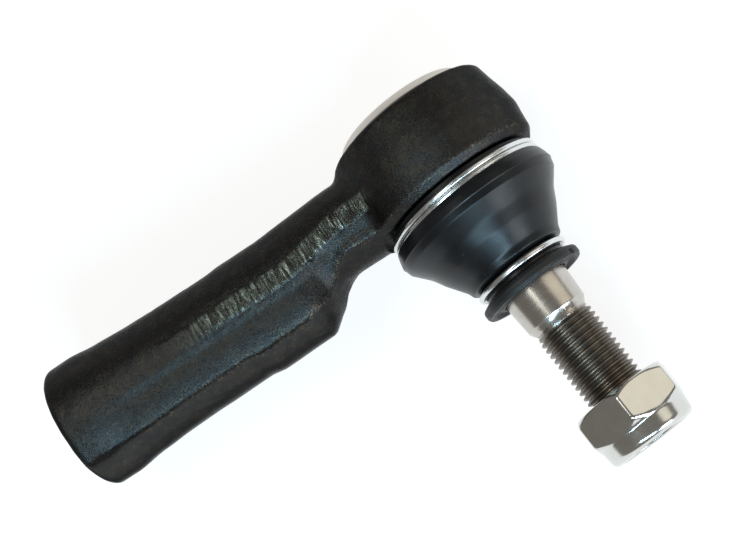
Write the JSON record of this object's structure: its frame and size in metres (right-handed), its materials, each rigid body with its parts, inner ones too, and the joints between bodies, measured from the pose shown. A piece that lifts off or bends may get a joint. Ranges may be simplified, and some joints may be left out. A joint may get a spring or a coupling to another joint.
{
  "type": "outer tie rod end",
  "caption": "Steering tie rod end: forged shank with a female thread, ball stud in a bearing, rubber dust boot with wire clips, and a self-locking hex nut on the stud.",
  "frame": {"origin": "centre of the shank's threaded mouth", "axes": "+X towards the ball housing, -Y along the ball stud towards the nut, +Z square to the plane of shank and stud"},
  "size_m": [0.1076, 0.0829, 0.0378],
  "materials": {
    "black_coat": "semi-gloss black coat over a rough forged skin",
    "cover_steel": "satin pressed steel",
    "spring_steel": "satin spring steel",
    "acetal": "smooth white acetal",
    "zinc_wire": "bright zinc-plated wire",
    "boot_rubber": "satin black moulded rubber",
    "seal_rubber": "matt black hard rubber",
    "stud_steel": "ground taper, rolled thread",
    "nylon": "smooth nylon",
    "nut_plate": "bright zinc plate"
  },
  "bodies": {
    "housing": {"forged_body": "black_coat", "end_cover": "cover_steel", "disc_spring": "spring_steel", "upper_bearing": "acetal", "lower_bearing": "acetal", "boot_clip_large": "zinc_wire"},
    "boot": {"dust_boot": "boot_rubber"},
    "boot_end": {"boot_clip_small": "zinc_wire", "seal_ring": "seal_rubber"},
    "stud": {"ball_stud": "stud_steel"},
    "insert": {"lock_insert": "nylon"},
    "nut": {"lock_nut": "nut_plate"}
  },
  "joints": [
    {"name": "stud_swing", "type": "hinge", "parent": "housing", "child": "boot", "pos_m": [0.0876, -0.00394, 0], "axis": [0, 0, 1], "range_deg": [-18, 18], "deforming": ["dust_boot"]},
    {"name": "stud_tilt", "type": "hinge", "parent": "boot", "child": "boot_end", "pos_m": [0.0876, -0.00394, 0], "axis": [1, 0, 0], "range_deg": [-18, 18], "deforming": ["dust_boot"]},
    {"name": "stud_spin", "type": "hinge", "parent": "boot_end", "child": "stud", "pos_m": [0.0876, -0.00394, 0], "axis": [0, -1, 0], "continuous": true},
    {"name": "nut_travel", "type": "slide", "parent": "stud", "child": "insert", "axis": [0, -1, 0], "range_m": [-0.0145, 0.0095]},
    {"name": "nut_turn", "type": "hinge", "parent": "insert", "child": "nut", "pos_m": [0.0876, -0.00394, 0], "axis": [0, -1, 0], "range_deg": [-4180, 2740]}
  ],
  "couplings": [
    {"joint": "nut_turn", "follows": "nut_travel", "rad_per_m": 5026.5}
  ]
}
